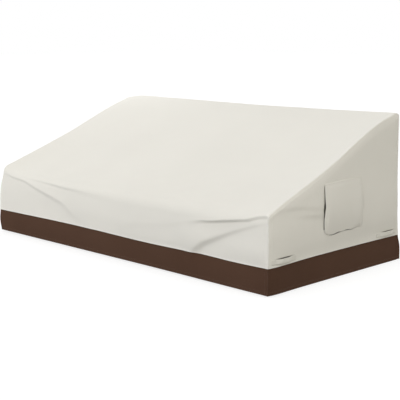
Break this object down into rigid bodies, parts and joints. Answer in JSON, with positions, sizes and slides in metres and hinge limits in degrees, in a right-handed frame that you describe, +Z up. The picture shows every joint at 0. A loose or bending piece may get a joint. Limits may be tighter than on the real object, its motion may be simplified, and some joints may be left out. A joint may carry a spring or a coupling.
{
  "type": "outdoor sofa cover",
  "caption": "Fitted outdoor sofa cover with a sloping top, a brown lower band, side vent flaps and webbing grab handles, hollow and open below.",
  "frame": {"origin": "bottom centre of the hem, on the level of its lower edge", "axes": "+X along the length to the end whose vent flap and handles the picture shows, -Y the low front, +Y the high back, +Z up"},
  "size_m": [2.2746, 1.1296, 0.8116],
  "materials": {
    "light_cloth": "coated polyester, fine plain weave, cream white, matt",
    "brown_cloth": "coated polyester, fine plain weave, dark brown, matt",
    "light_webbing": "flat woven polyester webbing, cream white, matt"
  },
  "bodies": {
    "root": {"top_panel": "light_cloth", "back_panel": "light_cloth", "right_end_panel": "light_cloth", "left_end_panel": "light_cloth", "front_band": "brown_cloth", "right_band": "brown_cloth", "back_band": "brown_cloth", "left_band": "brown_cloth", "right_vent_flap": "light_cloth", "left_vent_flap": "light_cloth", "right_front_handle": "light_webbing", "right_back_handle": "light_webbing", "left_front_handle": "light_webbing", "left_back_handle": "light_webbing"}
  },
  "joints": []
}
